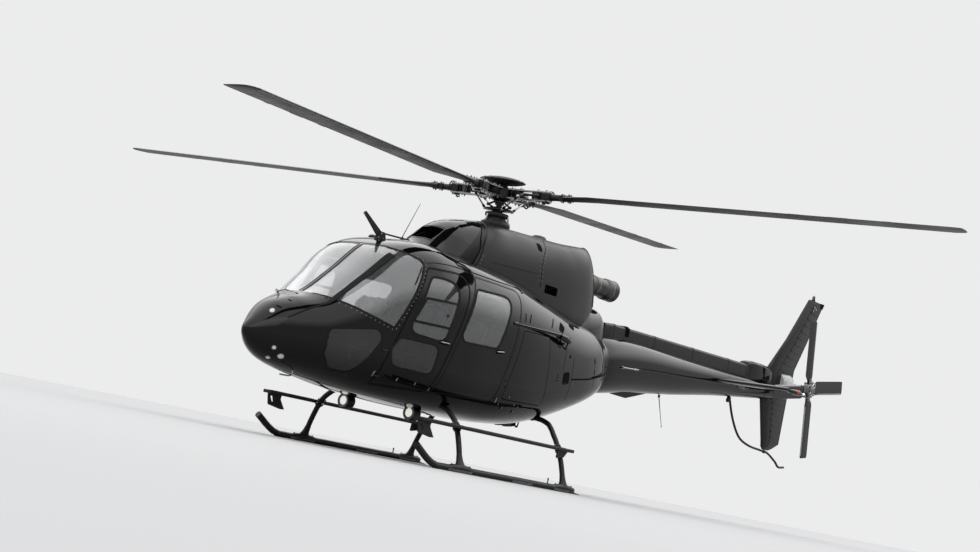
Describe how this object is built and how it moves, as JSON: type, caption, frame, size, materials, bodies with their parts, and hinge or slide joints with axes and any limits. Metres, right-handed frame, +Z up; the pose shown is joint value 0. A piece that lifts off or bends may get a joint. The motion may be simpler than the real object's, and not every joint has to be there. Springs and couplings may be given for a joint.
{
  "type": "light utility helicopter on skids",
  "caption": "Light single-engine utility helicopter parked on its skids, with turning rotors, hinged front doors and hinged baggage doors.",
  "frame": {"origin": "middle of the overall length and width, on the ground under the skids", "axes": "+X to port, +Y aft, +Z up"},
  "size_m": [9.8444, 12.5479, 3.4296],
  "materials": {
    "body_black": "high gloss black paint",
    "sheet_black": "high gloss black paint on aluminium sheet",
    "cowl_grey": "satin dark grey paint on composite",
    "glazing": "clear acrylic",
    "cabin_trim": "matt moulded trim",
    "seat_cloth": "woven upholstery",
    "engine_metal": "bare cast metal",
    "exhaust_steel": "heat-stained steel",
    "gear_black": "satin black paint, scuffed",
    "hub_steel": "machined metal and rubber",
    "blade_grey": "satin painted composite",
    "lamp_lens": "clear lens over a bright reflector"
  },
  "bodies": {
    "airframe": {"nose_shell": "body_black", "cabin_canopy": "body_black", "belly_shell": "body_black", "cabin_floor": "cabin_trim", "rear_fuselage": "sheet_black", "windscreen_port": "glazing", "windscreen_starboard": "glazing", "chin_window_port": "glazing", "chin_window_starboard": "glazing", "rear_door_port": "body_black", "rear_door_starboard": "body_black", "rear_window_port": "glazing", "rear_window_starboard": "glazing", "front_seat_port": "seat_cloth", "front_seat_starboard": "seat_cloth", "rear_bench": "seat_cloth", "instrument_panel": "cabin_trim", "intake_cowl": "body_black", "main_cowl": "cowl_grey", "engine_cowl": "cowl_grey", "aft_fairing": "sheet_black", "engine_block": "engine_metal", "exhaust_pipe": "exhaust_steel", "mast_boot": "cabin_trim", "tail_boom": "sheet_black", "stabilizer": "sheet_black", "driveshaft_cover": "cowl_grey", "upper_fin": "sheet_black", "lower_fin": "sheet_black", "tail_gearbox": "cowl_grey", "tail_skid": "gear_black", "skid_port": "gear_black", "skid_starboard": "gear_black", "step_port": "gear_black", "step_starboard": "gear_black", "cross_tube_front": "gear_black", "cross_tube_rear": "gear_black", "landing_light_port": "lamp_lens", "landing_light_starboard": "lamp_lens", "belly_hook": "gear_black", "roof_cutter": "gear_black"},
    "main_rotor": {"rotor_hub": "hub_steel", "main_blade_1": "blade_grey", "main_blade_2": "blade_grey", "main_blade_3": "blade_grey", "main_blade_4": "blade_grey"},
    "tail_rotor": {"tail_rotor_hub": "hub_steel", "tail_blade_1": "blade_grey", "tail_blade_2": "blade_grey", "tail_blade_3": "blade_grey", "tail_blade_4": "blade_grey"},
    "front_door_port": {"front_door_port": "body_black", "door_window_port": "glazing", "door_lower_window_port": "glazing"},
    "front_door_starboard": {"front_door_starboard": "body_black", "door_window_starboard": "glazing", "door_lower_window_starboard": "glazing"},
    "baggage_door_port": {"baggage_door_port": "sheet_black"},
    "baggage_door_starboard": {"baggage_door_starboard": "sheet_black"}
  },
  "joints": [
    {"name": "main_rotor_turn", "type": "hinge", "parent": "airframe", "child": "main_rotor", "pos_m": [0, -1.365, 3.035], "axis": [0, -0.061, 0.9981], "continuous": true},
    {"name": "tail_rotor_turn", "type": "hinge", "parent": "airframe", "child": "tail_rotor", "pos_m": [0.4, 5.335, 1.954], "axis": [1, 0, 0], "continuous": true},
    {"name": "front_door_port_hinge", "type": "hinge", "parent": "airframe", "child": "front_door_port", "pos_m": [0.745, -3.49, 0.9], "axis": [0, 0.0576, -0.9983], "range_deg": [0, 80]},
    {"name": "front_door_starboard_hinge", "type": "hinge", "parent": "airframe", "child": "front_door_starboard", "pos_m": [-0.745, -3.49, 0.9], "axis": [0, -0.0576, 0.9983], "range_deg": [0, 80]},
    {"name": "baggage_door_port_hinge", "type": "hinge", "parent": "airframe", "child": "baggage_door_port", "pos_m": [0.897, -1.5, 1.577], "axis": [0, -1, 0], "range_deg": [0, 85]},
    {"name": "baggage_door_starboard_hinge", "type": "hinge", "parent": "airframe", "child": "baggage_door_starboard", "pos_m": [-0.897, -1.5, 1.577], "axis": [0, 1, 0], "range_deg": [0, 85]}
  ]
}
